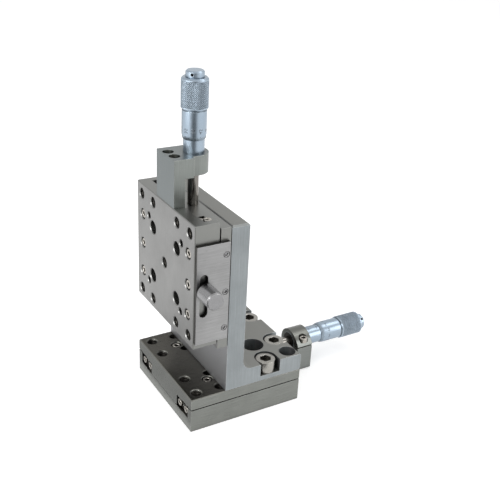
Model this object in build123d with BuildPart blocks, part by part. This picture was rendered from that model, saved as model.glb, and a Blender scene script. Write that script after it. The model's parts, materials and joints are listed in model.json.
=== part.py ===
"""Two-axis (X and Z) positioning stage, in millimetres.

Two equal crossed-roller stages: the lower one travels along X, and the upper one stands
on an angle bracket and travels along Z.  Each stage has a channel-shaped body, a T-shaped
slide, two pairs of V rails with caged rollers, a micrometer head on an arm, two return
springs and a lock screw.  The origin is the middle of the base's underside, +Z is up.
"""
from build123d import *
import math
import os

os.makedirs("parts", exist_ok=True)

# ---------------------------------------------------------------- driving sizes
plate_length = 60.0       # a stage along its travel
plate_width = 60.0        # a stage across its travel
floor_thick = 6.0         # body under the rails
flange_thick = 6.0        # slide over the rails
side_wall = 3.5           # body wall outside each rail pair
edge_break = 0.4          # chamfer round the two outer faces

run_gap = 0.3             # air between faces that pass each other
flange_gap = 0.6          # air between the body's walls and the slide's flange
fit_gap = 0.02            # radial clearance of a fit
slide_fit = 0.08          # radial clearance of the thimble over its sleeve
recess_play = 0.6         # counterbore wider than its screw head

rail_width = 5.7
rail_height = 6.0
rail_gap = 0.6            # between an outer and an inner rail
rail_hole_inset = 2.6     # rail screw line from the rail's back
rail_screw_pitch = 15.0
rail_screw_depth = 4.4    # thread in the rail
rail_screw_recess = 2.9   # counterbore over the screw's seat

roller_diameter = 2.0
roller_length = 1.8
roller_pitch = 5.0
rollers_per_cage = 9
groove_play = 0.04        # grooves wider than the rollers
cage_thick = 0.3
cage_height = 4.4
cage_window = 3.1         # window across the cage
cage_end = 2.4            # cage past the middle of its last roller

end_screw = 2.0           # thread diameter
end_screw_inset = 2.7     # from the rail's back
end_screw_head = 4.0      # diameter
end_screw_rise = 1.2      # head height
end_screw_length = 5.0
end_screw_socket = 1.5

# socket head screws: thread, head and key across flats
small_screw = 2.5         # in the rails, the arms and the jaws
small_head = 4.5
small_head_rise = 2.5
small_key = 2.0
back_bolt = 4.0           # through the bracket into the upper stage
back_head = 7.0
back_head_rise = 4.0
back_key = 3.0
mount_screw = 6.0         # through the bracket's foot, and the thread of the mounting holes
mount_head = 10.0
mount_head_rise = 6.0
mount_key = 5.0

hole_inset = 5.0          # outer mounting holes from the plate's edges
tapped_hole = 5.0         # tapping diameter of the mounting holes
tapped_depth = 5.0
clear_hole = 6.4          # their clearance diameter
slide_hole = 4.2          # tapping diameter of the slide's inner holes
pin_hole = 3.4
pin_hole_inset = 13.0     # from the plate's edges
pin_hole_depth = 4.5
thread_mouth = 0.4        # countersink of tapped holes
hole_mouth = 0.4          # countersink of plain holes

arm_width = 18.0          # micrometer arm
arm_thick = 5.3
arm_inset = 0.4           # arm behind the body's outer face
arm_reach = 22.0
jaw_thick = 9.0
jaw_shoulder = 10.0       # height of the jaw's wide part
nose_radius = 7.1
nose_drop = 0.5           # middle of the nose below the micrometer axis
ear_curve = (0.66, 0.29)  # its middle point, in shares of the half width and nose radius
axis_height = 14.1        # micrometer axis over the body's outer face
slit_width = 0.6
arm_screw_spread = 6.4
arm_screw_height = 3.2    # over the body's outer face
arm_screw_length = 25.0
arm_screw_recess = 4.0    # screw seat behind the jaw's face
clamp_screw_inset = 2.1    # from the arm's side
clamp_seat_height = 2.1   # clamp screw's seat over the micrometer axis
clamp_spot_face = 5.0     # diameter
clamp_screw_length = 7.0

spindle_diameter = 5.0
spindle_reach = 31.0      # tip to the thimble's front edge
thread_diameter = 6.0
thread_start = 5.0        # spindle thread from the thimble's front edge
sleeve_diameter = 9.5
sleeve_length = 31.0
thread_bore_length = 17.0
thimble_diameter = 11.0
thimble_front = 10.1      # small end of the bevel
bevel_length = 2.2
smooth_length = 13.3      # front edge to the grip
grip_diameter = 12.1
grip_length = 13.7
grip_break = 0.4
groove_depth = 0.35       # groove between the smooth part and the grip
groove_width = 0.5
thimble_end_wall = 5.5
cap_diameter = 8.3
cap_length = 2.9
cap_break = 0.6
cap_hole = 1.3            # cross hole for a tommy bar

anvil_diameter = 5.6
anvil_thick = 2.0

lock_plate_length = 48.0
lock_plate_height = 16.2
lock_plate_thick = 1.8
lock_plate_inset = 0.4    # lock plate's edge behind the body's outer face
plate_screw = 2.0         # thread diameter
plate_screw_head = 3.0
plate_screw_rise = 0.9
plate_screw_length = 5.0
plate_screw_pitch = 18.25
plate_screw_height = 14.7
lock_slot_width = 4.0
lock_slot_length = 21.0
lock_height = 4.0         # lock screw's axis over the body's outer face
lock_screw = 3.0          # thread diameter
lock_thread_depth = 2.6   # thread in the body's side
collar_diameter = 5.6
collar_length = 1.0
knob_diameter = 8.4
knob_length = 9.8
knob_break = 0.5

spring_diameter = 3.8
spring_wire = 0.6
spring_offset = 6.0       # springs each side of the middle
spring_height = 8.2
spring_pin = 2.0
body_pin_inset = 10.0     # spring pin in the body, from its micrometer end
slide_pin_inset = 16.0    # spring pin in the slide, from its other end
spring_channel = 4.6      # width of the slide's channels
channel_overrun = 8.5     # channel past the body's pin
pin_seat = 3.5            # pin in its hole

bracket_thick = 9.0
bracket_height = 85.0     # over the lower stage
bracket_fillet = 5.0
bracket_break = 0.8
bolt_play = 1.0           # recess wider than a foot bolt's head
bolt_land = 1.5           # foot left between a recess and an access hole
bolt_seat = 2.5           # bracket left under a bolt head
bolt_length = 8.0
back_bolt_hole = 4.5      # clearance diameter
back_bolt_recess = 4.6
back_bolt_length = 10.0
corner_access = 8.4       # holes over the lower stage's corner holes

lift_at_rest = 3.0        # upper carriage over the middle of its travel

# ---------------------------------------------------------------- worked out
half_length = plate_length / 2
half_width = plate_width / 2
rail_length = plate_length - 2 * (end_screw_rise + run_gap)
step_along = (half_length - hole_inset) / 2
step_across = (half_width - hole_inset) / 2
rail_top = floor_thick + rail_height
rail_level = floor_thick + rail_height / 2
stage_height = rail_top + flange_thick
outer_back = half_width - side_wall
outer_face = outer_back - rail_width
inner_face = outer_face - rail_gap
inner_back = inner_face - rail_width
roller_line = (outer_face + inner_face) / 2
groove_half = (roller_diameter + groove_play) / math.sqrt(2)
groove_depth_in_rail = groove_half - rail_gap / 2
arm_end = half_length + arm_reach
jaw_start = arm_end - jaw_thick
arm_seat = arm_end - arm_screw_recess
thimble_edge = half_length + spindle_reach
grip_end = smooth_length + grip_length
upper_middle = stage_height + bracket_height - half_length
bracket_front = stage_height - half_length
bracket_back = bracket_front + bracket_thick
foot_top = stage_height + bracket_thick
knob_seat = half_width + lock_plate_thick + run_gap
body_pin_place = half_length - body_pin_inset
slide_pin_place = half_length - slide_pin_inset
bolt_slot = mount_head + bolt_play
bolt_access = 2 * (min(step_along, step_across) - bolt_land) - bolt_slot
back_bolt_seat = bracket_thick - back_bolt_recess
channel_roof = spring_height + spring_channel / 2

# ---------------------------------------------------------------- frames
# Each stage is drawn in its own frame: x along the travel towards the micrometer, y across
# it, z from the outer face of the body to that of the slide.
lower = Plane.XY
upper = Plane(origin=(-half_length, 0, upper_middle), x_dir=(0, 0, 1), z_dir=(1, 0, 0))


def shifted(frame, distance):
    """The frame moved along its own travel."""
    return Plane(origin=frame.from_local_coords((distance, 0, 0)), x_dir=frame.x_dir, z_dir=frame.z_dir)


def under(frame):
    """The body's outer face, facing out. Its own y runs against the stage's."""
    return Plane(origin=frame.origin, x_dir=frame.x_dir, z_dir=-frame.z_dir)


def section(frame, x):
    """Plane across the travel, facing the micrometer. Its own axes are the stage's y and z."""
    return Plane(origin=frame.from_local_coords((x, 0, 0)), x_dir=frame.y_dir, z_dir=frame.x_dir)


def flank(frame, y):
    """Plane along a side, facing +y. Its own axes are the stage's z and x."""
    return Plane(origin=frame.from_local_coords((0, y, 0)), x_dir=frame.z_dir, z_dir=frame.y_dir)


def axial(frame, x):
    """Plane through the micrometer axis. Its own axes are along that axis and away from it."""
    return Plane(origin=frame.from_local_coords((x, 0, axis_height)), x_dir=frame.x_dir, z_dir=-frame.y_dir)


def grid(a, b):
    """A mounting hole a steps along and b steps across, repeated in all four quarters."""
    return [(sx * a * step_along, sy * b * step_across) for sx in (-1, 1) for sy in (-1, 1)]


# ---------------------------------------------------------------- small features
def discs(plane, spots, diameter):
    """Round profiles at some spots of a plane."""
    with BuildSketch(plane) as profiles:
        with Locations(*spots):
            Circle(diameter / 2)
    return profiles.sketch


def drill(plane, spots, diameter, depth, mouth=0):
    """Round holes from a plane, against its normal, countersunk by mouth."""
    extrude(discs(plane, spots, diameter), amount=-depth, mode=Mode.SUBTRACT)
    if mouth:
        extrude(discs(plane, spots, diameter + 2 * mouth), amount=-mouth, taper=45, mode=Mode.SUBTRACT)


def rods(plane, spots, diameter, length):
    """Round bars from a plane, along its normal."""
    extrude(discs(plane, spots, diameter), amount=length)


def cap_screws(seat, spots, screw, length):
    """Socket head screws: the heads stand on the plane and the shanks go below it."""
    thread, head, rise, key = screw
    rods(seat, spots, thread, -length)
    rods(seat, spots, head, rise)
    with BuildSketch(seat.offset(rise)) as sockets:
        with Locations(*spots):
            RegularPolygon(radius=key / 2, side_count=6, major_radius=False)
    extrude(sockets.sketch, amount=-rise / 2, mode=Mode.SUBTRACT)


def finish(piece, name):
    """Label a finished piece and write it."""
    piece.part.label = name
    export_step(piece.part, f"parts/{name}.step")


# ---------------------------------------------------------------- places shared by pieces
rail_screw_steps = (-rail_screw_pitch, 0, rail_screw_pitch)
outer_screw_line = outer_back - rail_hole_inset
inner_screw_line = inner_back + rail_hole_inset
outer_rail_spots = [(x, s * outer_screw_line) for x in rail_screw_steps for s in (-1, 1)]
inner_rail_spots = [(x, s * inner_screw_line) for x in rail_screw_steps for s in (-1, 1)]
outer_end_spots = [(s * (outer_back - end_screw_inset), rail_level) for s in (-1, 1)]
inner_end_spots = [(s * (inner_back + end_screw_inset), rail_level) for s in (-1, 1)]
small_hole = small_screw + 2 * fit_gap
small_bore = small_head + recess_play
arm_screw_spots = [(s * arm_screw_spread / 2, arm_screw_height) for s in (-1, 1)]
plate_screw_spots = [(plate_screw_height, x) for x in (-plate_screw_pitch, 0, plate_screw_pitch)]
body_pin_spots = [(body_pin_place, s * spring_offset) for s in (-1, 1)]
slide_pin_spots = [(-slide_pin_place, s * spring_offset) for s in (-1, 1)]
clamp_seat = axis_height + clamp_seat_height
small_screws = (small_screw, small_head, small_head_rise, small_key)
back_bolts = (back_bolt, back_head, back_head_rise, back_key)
mount_screws = (mount_screw, mount_head, mount_head_rise, mount_key)
roller_steps = [(i - (rollers_per_cage - 1) / 2) * roller_pitch for i in range(rollers_per_cage)]

# bolts through the bracket: its foot has two at the sides and two at the end, its back has four
foot_side_spots = [(step_along, s * 2 * step_across) for s in (-1, 1)]
foot_end_spots = [(2 * step_along, s * step_across) for s in (-1, 1)]
foot_bolt_spots = foot_side_spots + foot_end_spots
back_bolt_spots = grid(2, 1)


# ---------------------------------------------------------------- body and slide
def make_body(frame, name):
    """Channel that holds the outer rails, the micrometer arm and the lock screw."""
    relief = floor_thick - run_gap
    with BuildPart() as body:
        with BuildSketch(section(frame, -half_length)):
            with BuildLine():
                Polyline(
                    (-half_width, 0), (half_width, 0), (half_width, rail_top), (outer_back, rail_top),
                    (outer_back, floor_thick), (outer_face, floor_thick), (outer_face, relief),
                    (-outer_face, relief), (-outer_face, floor_thick), (-outer_back, floor_thick),
                    (-outer_back, rail_top), (-half_width, rail_top), close=True)
            make_face()
        extrude(amount=plate_length)
        outer = body.faces().sort_by(Axis(frame.origin, frame.z_dir))[0]
        chamfer(outer.edges(), edge_break)
        drill(under(frame), grid(2, 2) + grid(2, 1), tapped_hole, tapped_depth, thread_mouth)
        drill(under(frame), grid(1, 1), clear_hole, floor_thick, hole_mouth)
        drill(under(frame), [(0, 0)], tapped_hole, floor_thick, thread_mouth)
        pin_x = half_length - pin_hole_inset
        pin_y = half_width - pin_hole_inset
        pin_holes = [(sx * pin_x, sy * pin_y) for sx in (-1, 1) for sy in (-1, 1)]
        drill(under(frame), pin_holes, pin_hole, pin_hole_depth, hole_mouth)
        drill(under(frame), outer_rail_spots, small_bore, rail_screw_recess, hole_mouth)
        drill(under(frame), outer_rail_spots, small_hole, floor_thick)
        thread_end = arm_seat - arm_screw_length - run_gap
        drill(section(frame, half_length), arm_screw_spots, small_hole, half_length - thread_end)
        lock_hole = [(lock_height, 0)]
        drill(flank(frame, half_width), lock_hole, lock_screw + 2 * fit_gap, lock_thread_depth + run_gap)
        drill(frame.offset(relief), body_pin_spots, spring_pin + 2 * fit_gap, pin_seat)
    finish(body, name)


def make_slide(frame, bolt_spots, bolt, bolt_reach, name):
    """T-shaped slide: the flange covers the body, the stem hangs between the inner rails.
    The bolts of the bracket reach bolt_reach into its face."""
    relief = rail_top + flange_gap
    with BuildPart() as slide:
        with BuildSketch(section(frame, -half_length)):
            with BuildLine():
                Polyline(
                    (-half_width, stage_height), (half_width, stage_height), (half_width, relief),
                    (roller_line, relief), (roller_line, rail_top), (inner_back, rail_top),
                    (inner_back, floor_thick), (-inner_back, floor_thick), (-inner_back, rail_top),
                    (-roller_line, rail_top), (-roller_line, relief), (-half_width, relief), close=True)
            make_face()
        extrude(amount=plate_length)
        outer = slide.faces().sort_by(Axis(frame.origin, frame.z_dir))[-1]
        chamfer(outer.edges(), edge_break)
        face = frame.offset(stage_height)
        free_holes = [spot for spot in grid(2, 2) + grid(2, 1) + grid(1, 2) if spot not in bolt_spots]
        drill(face, free_holes, tapped_hole, tapped_depth, thread_mouth)
        drill(face, bolt_spots, bolt + 2 * fit_gap, bolt_reach + run_gap, thread_mouth)
        drill(face, grid(1, 1), slide_hole, tapped_depth, hole_mouth)
        drill(face, inner_rail_spots, small_bore, rail_screw_recess, hole_mouth)
        drill(face, inner_rail_spots, small_hole, flange_thick)
        drill(section(frame, half_length), [(0, axis_height)], anvil_diameter + 2 * fit_gap, anvil_thick)
        side = flank(frame, half_width)
        drill(side, plate_screw_spots, plate_screw + 2 * fit_gap, plate_screw_length - plate_screw_rise)
        channel_start = -slide_pin_place - spring_channel / 2
        channel_end = body_pin_place + channel_overrun
        with BuildSketch(frame.offset(floor_thick)):
            with Locations(*[((channel_start + channel_end) / 2, s * spring_offset) for s in (-1, 1)]):
                Rectangle(channel_end - channel_start, spring_channel)
        extrude(amount=channel_roof - floor_thick, mode=Mode.SUBTRACT)
        drill(under(frame).offset(-channel_roof), slide_pin_spots, spring_pin + 2 * fit_gap, pin_seat)
    finish(slide, name)


# ---------------------------------------------------------------- crossed-roller ways
def make_rail(frame, side, back, face, screw_face, screw_spots, end_spots, name):
    """V rail. Its groove faces its partner, and its screws come from the piece it seats on."""
    tip = face + math.copysign(groove_depth_in_rail, back - face)
    with BuildPart() as rail:
        with BuildSketch(section(frame, -rail_length / 2)):
            with BuildLine():
                Polyline(
                    (side * face, floor_thick), (side * back, floor_thick), (side * back, rail_top),
                    (side * face, rail_top), (side * face, rail_level + groove_depth_in_rail),
                    (side * tip, rail_level), (side * face, rail_level - groove_depth_in_rail), close=True)
            make_face()
        extrude(amount=rail_length)
        drill(screw_face, screw_spots, small_hole, rail_screw_depth + run_gap)
        own_end = [spot for spot in end_spots if spot[0] * side > 0]
        drill(section(frame, rail_length / 2), own_end, end_screw + 2 * fit_gap, end_screw_length)
        drill(section(frame, -rail_length / 2), own_end, end_screw + 2 * fit_gap, -end_screw_length)
    finish(rail, name)


def make_cage(frame, side, name):
    """Thin strip between a rail pair, with a window for each roller."""
    length = roller_steps[-1] - roller_steps[0] + 2 * cage_end
    with BuildPart() as cage:
        with BuildSketch(flank(frame, side * roller_line)):
            with Locations((rail_level, 0)):
                Rectangle(cage_height, length)
            with Locations(*[(rail_level, x) for x in roller_steps]):
                Rectangle(cage_window, roller_diameter + 2 * slide_fit, mode=Mode.SUBTRACT)
        extrude(amount=cage_thick / 2, both=True)
    finish(cage, name)


def make_rollers(frame, name):
    """Rollers of both cages, each turned a right angle from the one before it."""
    with BuildPart() as rollers:
        for side in (-1, 1):
            for i, x in enumerate(roller_steps):
                lean = frame.y_dir + frame.z_dir * (1 if i % 2 else -1)
                middle = frame.from_local_coords((x, side * roller_line, rail_level))
                with BuildSketch(Plane(origin=middle, x_dir=frame.x_dir, z_dir=lean)):
                    Circle(roller_diameter / 2)
                extrude(amount=roller_length / 2, both=True)
    finish(rollers, name)


def make_end_screws(frame, spots, name):
    """Screws in the rail ends that keep the cages in."""
    with BuildPart() as screws:
        for end in (-1, 1):
            face = section(frame, end * rail_length / 2)
            rods(face, spots, end_screw, -end * end_screw_length)
            rods(face, spots, end_screw_head, end * end_screw_rise)
            top = section(frame, end * (rail_length / 2 + end_screw_rise))
            drill(top, spots, end_screw_socket, end * end_screw_rise / 2)
    finish(screws, name)


def make_cap_screws(seat, spots, screw, length, name):
    """A set of socket head screws on one seat."""
    with BuildPart() as screws:
        cap_screws(seat, spots, screw, length)
    finish(screws, name)


# ---------------------------------------------------------------- micrometer head
def make_arm(frame, name):
    """Arm on the body's end whose split jaw holds the micrometer's sleeve."""
    half = arm_width / 2
    nose_level = axis_height - nose_drop
    apex = nose_level + nose_radius
    ear_out = ear_curve[0] * half
    ear_up = apex - ear_curve[1] * nose_radius
    with BuildPart() as arm:
        with BuildSketch(section(frame, half_length)):
            with Locations((0, arm_inset + arm_thick / 2)):
                Rectangle(arm_width, arm_thick)
        extrude(amount=arm_reach)
        with BuildSketch(section(frame, jaw_start)):
            with BuildLine():
                Polyline((0, apex), (0, arm_inset), (half, arm_inset), (half, jaw_shoulder),
                         (nose_radius, jaw_shoulder), (nose_radius, nose_level))
                RadiusArc((nose_radius, nose_level), (0, apex), -nose_radius)
            make_face()
            with BuildLine():
                Polyline((0, apex), (0, arm_inset), (-half, arm_inset), (-half, axis_height + slit_width))
                ThreePointArc((-half, axis_height + slit_width), (-ear_out, ear_up), (0, apex))
            make_face()
        extrude(amount=jaw_thick)
        mouth = section(frame, arm_end)
        drill(mouth, [(0, axis_height)], sleeve_diameter + 2 * fit_gap, jaw_thick)
        with BuildSketch(mouth):
            with Locations((-half, axis_height)):
                Rectangle(arm_width, slit_width)
        extrude(amount=-jaw_thick, mode=Mode.SUBTRACT)
        drill(mouth, arm_screw_spots, small_hole, arm_reach)
        drill(mouth, arm_screw_spots, small_bore, arm_screw_recess)
        clamp_spot = [((jaw_start + arm_end) / 2, clamp_screw_inset - half)]
        drill(frame.offset(apex), clamp_spot, clamp_spot_face, apex - clamp_seat)
        drill(frame.offset(clamp_seat), clamp_spot, small_hole, clamp_screw_length + run_gap)
    finish(arm, name)
    axis = name[0]
    make_cap_screws(frame.offset(clamp_seat), clamp_spot, small_screws, clamp_screw_length,
                    f"{axis}_clamp_screw")
    make_cap_screws(section(frame, arm_seat), arm_screw_spots, small_screws, arm_screw_length,
                    f"{axis}_arm_screws")


def make_sleeve(frame, name):
    """Sleeve fixed in the jaw; the spindle slides in its front and screws into its rear."""
    spindle_bore = spindle_diameter / 2 + slide_fit
    thread_bore = thread_diameter / 2 + slide_fit
    step = sleeve_length - thread_bore_length
    with BuildPart() as sleeve:
        with BuildSketch(axial(frame, jaw_start)):
            with BuildLine():
                Polyline((0, spindle_bore), (0, sleeve_diameter / 2), (sleeve_length, sleeve_diameter / 2),
                         (sleeve_length, thread_bore), (step, thread_bore), (step, spindle_bore), close=True)
            make_face()
        revolve(axis=Axis(axial(frame, 0).origin, frame.x_dir))
    finish(sleeve, name)


def make_spindle(frame, name):
    """Spindle from its tip, against the slide's anvil, to the thimble's end."""
    with BuildPart() as spindle:
        spot = [(0, axis_height)]
        rods(section(frame, half_length), spot, spindle_diameter, spindle_reach + grip_end)
        thread_length = grip_end - thimble_end_wall - thread_start
        rods(section(frame, thimble_edge + thread_start), spot, thread_diameter, thread_length)
    finish(spindle, name)


def make_thimble(frame, name):
    """Thimble with a bevel for the scale, a smooth part and the grip, hollow over the sleeve."""
    inner = sleeve_diameter / 2 + slide_fit
    smooth = thimble_diameter / 2
    grip = grip_diameter / 2
    hub = spindle_diameter / 2 + fit_gap
    floor = grip_end - thimble_end_wall
    with BuildPart() as thimble:
        with BuildSketch(axial(frame, thimble_edge)):
            with BuildLine():
                Polyline(
                    (0, inner), (0, thimble_front / 2), (bevel_length, smooth),
                    (smooth_length - groove_width, smooth),
                    (smooth_length - groove_width, smooth - groove_depth),
                    (smooth_length, smooth - groove_depth), (smooth_length, grip - grip_break),
                    (smooth_length + grip_break, grip), (grip_end - grip_break, grip),
                    (grip_end, grip - grip_break), (grip_end, hub), (floor, hub), (floor, inner), close=True)
            make_face()
        revolve(axis=Axis(axial(frame, 0).origin, frame.x_dir))
    finish(thimble, name)


def make_cap(frame, name):
    """Cap on the thimble's end, with a cross hole for a tommy bar."""
    face = thimble_edge + grip_end
    middle = frame.from_local_coords((face + cap_length / 2, 0, axis_height))
    with BuildPart() as cap:
        rods(section(frame, face), [(0, axis_height)], cap_diameter, cap_length)
        rim = cap.faces().sort_by(Axis(frame.origin, frame.x_dir))[-1]
        chamfer(rim.edges(), cap_break)
        across = Plane(origin=middle, x_dir=frame.x_dir, z_dir=frame.z_dir - frame.y_dir)
        extrude(discs(across, [(0, 0)], cap_hole), amount=cap_diameter, both=True, mode=Mode.SUBTRACT)
    finish(cap, name)


def make_anvil(frame, name):
    """Hard disc in the slide's end that the spindle presses on."""
    with BuildPart() as anvil:
        rods(section(frame, half_length), [(0, axis_height)], anvil_diameter, -anvil_thick)
    finish(anvil, name)


# ---------------------------------------------------------------- lock
def make_lock_plate(frame, name):
    """Slotted plate screwed to the slide's side; the knob clamps it against the body."""
    middle = lock_plate_inset + lock_plate_height / 2
    relief_height = rail_top + flange_gap / 2 - lock_plate_inset
    with BuildPart() as lock_plate:
        with BuildSketch(flank(frame, half_width)):
            with Locations((middle, 0)):
                Rectangle(lock_plate_height, lock_plate_length)
        extrude(amount=lock_plate_thick)
        with BuildSketch(flank(frame, half_width)):
            with Locations((lock_plate_inset + relief_height / 2, 0)):
                Rectangle(relief_height, lock_plate_length)
        extrude(amount=run_gap, mode=Mode.SUBTRACT)
        with BuildSketch(flank(frame, half_width)):
            with Locations((lock_height, 0)):
                SlotOverall(lock_slot_length, lock_slot_width, rotation=90)
        extrude(amount=lock_plate_thick, mode=Mode.SUBTRACT)
        front = flank(frame, half_width + lock_plate_thick)
        drill(front, plate_screw_spots, plate_screw_head + 2 * fit_gap, plate_screw_rise)
        drill(front, plate_screw_spots, plate_screw + 2 * fit_gap, lock_plate_thick)
    finish(lock_plate, name)


def make_plate_screws(frame, name):
    """Three small screws, flush with the lock plate."""
    seat = flank(frame, half_width + lock_plate_thick - plate_screw_rise)
    with BuildPart() as screws:
        rods(seat, plate_screw_spots, plate_screw, -plate_screw_length)
        rods(seat, plate_screw_spots, plate_screw_head, plate_screw_rise)
        drill(seat.offset(plate_screw_rise), plate_screw_spots, plate_screw_head / 2, plate_screw_rise / 2)
    finish(screws, name)


def make_lock_screw(frame, name):
    """Knob with a thread in the body's side, through the plate's slot."""
    spot = [(lock_height, 0)]
    with BuildPart() as knob:
        rods(flank(frame, knob_seat + collar_length), spot, knob_diameter, knob_length)
        chamfer(knob.edges().filter_by(GeomType.CIRCLE), knob_break)
        rods(flank(frame, knob_seat), spot, collar_diameter, collar_length)
        rods(flank(frame, knob_seat), spot, lock_screw, half_width - lock_thread_depth - knob_seat)
    finish(knob, name)


# ---------------------------------------------------------------- return springs
def make_pins(plane, spots, length, name):
    """Pins that the springs hook on."""
    with BuildPart() as pins:
        rods(plane.offset(-pin_seat), spots, spring_pin, length)
    finish(pins, name)


def make_springs(frame, body_pin, name):
    """Two extension springs in the slide's channels, with an eye on a pin at each end."""
    eye_inner = spring_pin / 2 + fit_gap
    eye_outer = eye_inner + spring_wire
    slide_pin = -slide_pin_place
    coil_start = slide_pin + eye_outer + spring_wire
    coil_end = body_pin - eye_outer - spring_wire
    sides = (-spring_offset, spring_offset)
    with BuildPart() as springs:
        rods(section(frame, coil_start), [(y, spring_height) for y in sides], spring_diameter,
             coil_end - coil_start)
        with BuildSketch(frame.offset(spring_height)) as eyes:
            with Locations(*[((slide_pin + body_pin) / 2, y) for y in sides]):
                Rectangle(body_pin - slide_pin, 2 * spring_wire)
            with Locations(*[(x, y) for x in (slide_pin, body_pin) for y in sides]):
                Circle(eye_outer)
                Circle(eye_inner, mode=Mode.SUBTRACT)
        extrude(eyes.sketch, amount=spring_wire / 2, both=True)
    finish(springs, name)


# ---------------------------------------------------------------- angle bracket
def make_bracket(name):
    """Angle bracket: its foot is bolted on the lower slide, its back holds the upper stage."""
    top = stage_height + bracket_height
    with BuildPart() as bracket:
        with BuildSketch(Plane.XZ):
            with BuildLine():
                Polyline((bracket_front, stage_height), (half_length, stage_height), (half_length, foot_top),
                         (bracket_back, foot_top), (bracket_back, top), (bracket_front, top), close=True)
            make_face()
        extrude(amount=half_width, both=True)
        long_edges = bracket.edges().filter_by(Axis.Y).sort_by_distance((bracket_back, 0, foot_top))
        foot_edges = long_edges.sort_by(Axis.X)[-2:]
        fillet(long_edges[0], bracket_fillet)
        chamfer(foot_edges + bracket.faces().sort_by(Axis.Z)[-1].edges(), bracket_break)
        foot = Plane.XY.offset(foot_top)
        recess = bracket_thick - bolt_seat
        with BuildSketch(foot):
            with Locations(*[(x, y + math.copysign(step_across / 2, y)) for x, y in foot_side_spots]):
                Rectangle(bolt_slot, step_across)
            with Locations(*[(x + step_along / 2, y) for x, y in foot_end_spots]):
                Rectangle(step_along, bolt_slot)
            with Locations(*foot_bolt_spots):
                Circle(bolt_slot / 2)
        extrude(amount=-recess, mode=Mode.SUBTRACT)
        drill(foot, foot_bolt_spots, clear_hole, bracket_thick)
        drill(foot, [spot for spot in grid(1, 1) if spot[0] > 0], bolt_access, bracket_thick)
        drill(foot, [spot for spot in grid(2, 2) if spot[0] > 0], corner_access, bracket_thick)
        back = upper.offset(stage_height + bracket_thick)
        drill(back, back_bolt_spots, back_head + recess_play, back_bolt_recess)
        drill(back, back_bolt_spots, back_bolt_hole, bracket_thick)
    finish(bracket, name)


# ---------------------------------------------------------------- one stage
def make_stage(axis, frame, body_shift):
    """Pieces of one stage that both stages share, except its body and slide. The body stands
    body_shift along the travel from the slide."""
    body_frame = shifted(frame, body_shift)
    cage_frame = shifted(frame, body_shift / 2)

    for side, word in ((-1, "right"), (1, "left")):
        from_below = [(x, -y) for x, y in outer_rail_spots if y * side > 0]
        from_above = [(x, y) for x, y in inner_rail_spots if y * side > 0]
        make_rail(body_frame, side, outer_back, outer_face, under(body_frame).offset(-floor_thick),
                  from_below, outer_end_spots, f"{axis}_outer_rail_{word}")
        make_rail(frame, side, inner_back, inner_face, frame.offset(rail_top),
                  from_above, inner_end_spots, f"{axis}_inner_rail_{word}")
        make_cage(cage_frame, side, f"{axis}_cage_{word}")
    make_rollers(cage_frame, f"{axis}_rollers")
    make_end_screws(body_frame, outer_end_spots, f"{axis}_outer_end_screws")
    make_end_screws(frame, inner_end_spots, f"{axis}_inner_end_screws")
    rail_shank = floor_thick - rail_screw_recess + rail_screw_depth
    outer_seat = under(body_frame).offset(-rail_screw_recess)
    inner_seat = frame.offset(stage_height - rail_screw_recess)
    make_cap_screws(outer_seat, outer_rail_spots, small_screws, rail_shank, f"{axis}_outer_rail_screws")
    make_cap_screws(inner_seat, inner_rail_spots, small_screws, rail_shank, f"{axis}_inner_rail_screws")

    make_arm(body_frame, f"{axis}_micrometer_arm")
    make_sleeve(body_frame, f"{axis}_sleeve")
    make_spindle(frame, f"{axis}_spindle")
    make_thimble(frame, f"{axis}_thimble")
    make_cap(frame, f"{axis}_thimble_cap")
    make_anvil(frame, f"{axis}_anvil")

    make_lock_plate(frame, f"{axis}_lock_plate")
    make_plate_screws(frame, f"{axis}_lock_plate_screws")
    make_lock_screw(body_frame, f"{axis}_lock_screw")

    body_seat = body_frame.offset(floor_thick - run_gap)
    slide_seat = under(frame).offset(-channel_roof)
    body_pin_length = pin_seat + spring_height + spring_pin / 2 - (floor_thick - run_gap)
    slide_pin_length = pin_seat + channel_roof - spring_height + spring_pin / 2
    make_pins(body_seat, body_pin_spots, body_pin_length, f"{axis}_body_spring_pins")
    make_pins(slide_seat, slide_pin_spots, slide_pin_length, f"{axis}_slide_spring_pins")
    make_springs(frame, body_pin_place + body_shift, f"{axis}_return_springs")


make_body(lower, "x_base")
make_slide(lower, foot_bolt_spots, mount_screw, bolt_length - bolt_seat, "x_table")
make_stage("x", lower, 0)

make_body(shifted(upper, lift_at_rest), "z_carriage")
make_slide(upper, back_bolt_spots, back_bolt, back_bolt_length - back_bolt_seat, "z_back_plate")
make_stage("z", upper, lift_at_rest)

make_bracket("angle_bracket")
make_cap_screws(lower.offset(stage_height + bolt_seat), foot_bolt_spots, mount_screws, bolt_length,
                "bracket_foot_bolts")
make_cap_screws(upper.offset(stage_height + back_bolt_seat), back_bolt_spots, back_bolts, back_bolt_length,
                "bracket_back_bolts")
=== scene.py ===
import json
import math
import bmesh
import bpy
from mathutils import Matrix, Vector


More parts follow.
